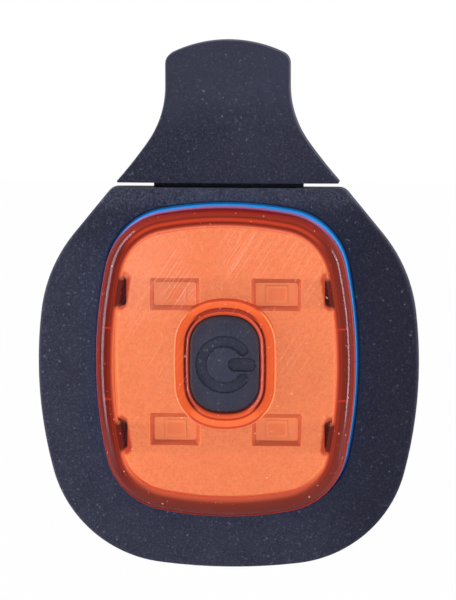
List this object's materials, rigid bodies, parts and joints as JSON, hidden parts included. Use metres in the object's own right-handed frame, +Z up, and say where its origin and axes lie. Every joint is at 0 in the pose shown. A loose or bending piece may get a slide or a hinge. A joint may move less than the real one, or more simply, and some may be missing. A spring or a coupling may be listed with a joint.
{
  "type": "clip-on safety light",
  "caption": "Small LED safety light: soft holder with an orange lens and a power button in it, and a flared tab that folds over behind it as a clip.",
  "frame": {"origin": "on the flat back, over the middle of the magnet that the folded tab meets", "axes": "+Z up the light towards the tab, +Y out of the back towards the wearer, so the lens faces -Y, +X across to the right seen from the front"},
  "size_m": [0.0608, 0.0115, 0.0846],
  "materials": {
    "holder_rubber": "satin, fine matt moulding texture",
    "tab_plate_plastic": "fine matt",
    "case_blue": "gloss",
    "magnet_nickel": "nickel plated",
    "seal_rubber": "matt",
    "lens_orange": "clear moulded, polished",
    "reflector_white": "satin",
    "board_laminate": "solder mask",
    "led_white": "satin",
    "led_clear": "clear resin",
    "switch_black": "matt",
    "plunger_plastic": "matt",
    "chip_black": "matt",
    "capacitor_tan": "satin",
    "screw_steel": "bright",
    "cell_steel": "satin nickel",
    "cradle_black": "matt",
    "contact_brass": "bright",
    "button_rubber": "satin",
    "door_plastic": "satin"
  },
  "bodies": {
    "light_body": {"rubber_holder": "holder_rubber", "hinge_web": "holder_rubber", "base_shell": "case_blue", "body_magnet": "magnet_nickel", "lens_seal": "seal_rubber", "front_lens": "lens_orange", "reflector_plate": "reflector_white", "circuit_board": "board_laminate", "led_windows": "led_clear", "led_top_left": "led_white", "led_top_right": "led_white", "led_bottom_left": "led_white", "led_bottom_right": "led_white", "tact_switch": "switch_black", "controller_chip": "chip_black", "chip_resistors": "chip_black", "chip_capacitors": "capacitor_tan", "board_screws": "screw_steel", "coin_cell": "cell_steel", "cell_cradle": "cradle_black", "contact_positive": "contact_brass", "contact_negative": "contact_brass"},
    "fold_tab": {"tab_rubber": "holder_rubber", "tab_back_plate": "tab_plate_plastic", "tab_magnet": "magnet_nickel"},
    "button": {"button_cap": "button_rubber", "switch_plunger": "plunger_plastic"},
    "door": {"battery_door": "door_plastic", "door_seal": "seal_rubber"}
  },
  "joints": [
    {"name": "tab_fold", "type": "hinge", "parent": "light_body", "child": "fold_tab", "pos_m": [0, 0.0003, 0.01312], "axis": [-1, 0, 0], "range_deg": [0, 180], "stiffness_Nm_per_rad": 0.008, "deforming": ["hinge_web"]},
    {"name": "button_press", "type": "slide", "parent": "light_body", "child": "button", "axis": [0, 1, 0], "range_m": [0, 0.0005], "stiffness_N_per_m": 1500},
    {"name": "door_turn", "type": "hinge", "parent": "light_body", "child": "door", "pos_m": [0, 0, -0.024], "axis": [0, 1, 0], "range_deg": [0, 45]}
  ]
}
